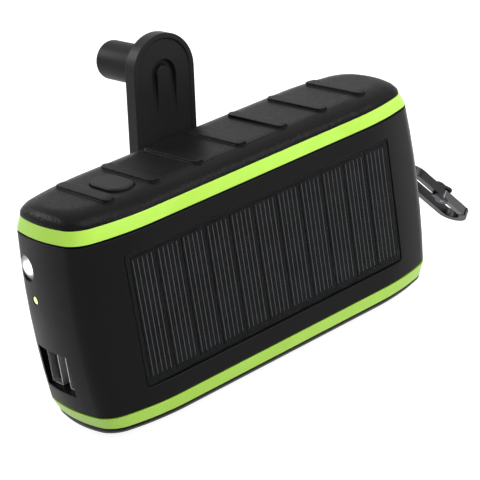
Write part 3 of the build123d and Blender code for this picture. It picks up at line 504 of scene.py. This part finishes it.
make_camera()
make_floor()
make_world()
make_lamp("top_box", (0.0, -0.25, 0.9), 0.04, 0.5, 5)
make_lamp("front_box", (0.35, -0.95, 0.55), 0.04, 0.4, 4.5)
make_lamp("left_box", (-0.95, -0.6, 0.2), 0.06, 0.3, 1.0)
make_lamp("edge_box", (0.62, -0.42, 0.82), 0.04, 0.25, 3)
make_lamp("back_box", (-0.4, 0.8, 0.6), 0.04, 0.4, 4)


# ---------------------------------------------------------------- body

softened("mid_housing", "housing_shell", SATIN_ABS, "charger", 0.3, 3, clamp=False)
softened("top_plate", "upper_band", LIME_ABS, "charger", 0.22)
softened("bottom_plate", "lower_band", LIME_ABS, "charger", 0.22)
softened("top_gasket", "upper_seal", SEAL_SILICONE, "charger", 0.1)
softened("bottom_gasket", "lower_seal", SEAL_SILICONE, "charger", 0.1)
softened("top_cover", "upper_cover", COVER_TPE, "charger", 0.3, 3, clamp=False)
softened("bottom_cover", "lower_cover", COVER_TPE, "charger", 0.3, 3, clamp=False)
softened("power_button", "button_cap", BUTTON_RUBBER, "button", 0.12)


# ---------------------------------------------------------------- solar panel

def cell_fingers():
    """The fine silver fingers on the cells: one modelled, repeated over a cell and the row."""
    low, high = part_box("solar_cells")
    pitch = (high.x - low.x + CELL_GAP) / CELLS
    step = (pitch - CELL_GAP) / FINGERS_PER_CELL
    left = low.x + step / 2 - FINGER_WIDTH / 2
    right = low.x + step / 2 + FINGER_WIDTH / 2
    finger = bar((left, low.y - FINGER_LIFT, low.z + FINGER_FOOT),
                 (right, low.y, high.z - FINGER_HEAD), FINGER_EDGE_MM)
    repeat(finger, FINGERS_PER_CELL, (step, 0, 0))
    repeat(finger, CELLS, (pitch, 0, 0))
    finish_piece(finger, "cell_fingers", SILVER_PASTE)


dress("panel_board", PANEL_LAMINATE)
dress("solar_cells", CELL_SILICON)
cell_fingers()
film = softened("panel_window", "panel_film", PANEL_RESIN, "charger", 0.1)
lift_back(film, FILM_CLEARANCE_MM)


# ---------------------------------------------------------------- left end: torch and sockets

def usb_contacts():
    """The gold contacts on the face of each tongue: one modelled, repeated up and across."""
    low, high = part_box("usb_tongues")
    start, face = low.x + CONTACT_INSET, low.y
    lowest = (low.z + high.z) / 2 - (CONTACTS - 1) / 2 * CONTACT_STEP
    contact = bar((start, face - CONTACT_PROUD, lowest - CONTACT_WIDTH / 2),
                  (start + CONTACT_LENGTH, face, lowest + CONTACT_WIDTH / 2), CONTACT_EDGE_MM)
    repeat(contact, CONTACTS, (0, 0, CONTACT_STEP))
    repeat(contact, SOCKETS, (0, USB_PITCH, 0))
    finish_piece(contact, "usb_contacts", GOLD)


softened("torch_lens", "torch_window", LENS_PC, "charger", 0.15)
dress("torch_reflector", CHROME)
softened("torch_led", "torch_emitter", LED_LIT, "charger", 0.15)
softened("light_pipe", "charge_light", LIGHT_GUIDE, "charger", 0.15)
softened("usb_shells", "usb_cans", NICKEL, "charger", 0.08)
softened("usb_tongues", "usb_blades", SOCKET_NYLON, "charger", 0.15)
dress("usb_carrier", SOCKET_NYLON)
usb_contacts()


# ---------------------------------------------------------------- inside

for node, material in (
    ("circuit_board", GREEN_MASK), ("board_screws", ZINC_SCREW), ("tact_switch", NICKEL),
    ("battery_cells", POUCH_FOIL), ("plate_screws", ZINC_SCREW), ("crank_bush", BRONZE),
    ("gearbox_plate", ZINC_SHEET), ("gearbox_screws", ZINC_SCREW),
    ("idler_axle", GROUND_STEEL), ("generator_can", ZINC_SHEET),
    ("generator_coils", COPPER_WIRE), ("generator_rotor", FERRITE),
    ("generator_shaft", GROUND_STEEL), ("generator_pinion", BRONZE),
    ("crank_gear", ACETAL), ("idler_pinion", ACETAL), ("idler_wheel", ACETAL),
    ("crank_spacer", BRONZE), ("crank_shaft", GROUND_STEEL),
):
    dress(node, material)


# ---------------------------------------------------------------- crank and hook

softened("crank_hub", "hub_disc", CRANK_ABS, "crank", 0.3, 3)
softened("crank_arm", "arm_plate", CRANK_ABS, "arm", 0.3, 3)
softened("knob", "turning_knob", KNOB_ABS, "grip", 0.4, 3)
dress("arm_pin", GROUND_STEEL)
dress("knob_axle", BLACK_STEEL)
softened("hook_eye", "swivel_eye", GUNMETAL, "eye", 0.35, 3)
softened("snap_hook", "hook_body", GUNMETAL, "hook", 0.15, 3, clamp=False)
softened("snap_gate", "hook_gate", GATE_STEEL, "gate", 0.4, 3)
softened("gate_pin", "gate_rivet", GROUND_STEEL, "hook", 0.15)
softened("hook_pin", "hook_rivet", GROUND_STEEL, "charger", 0.25)
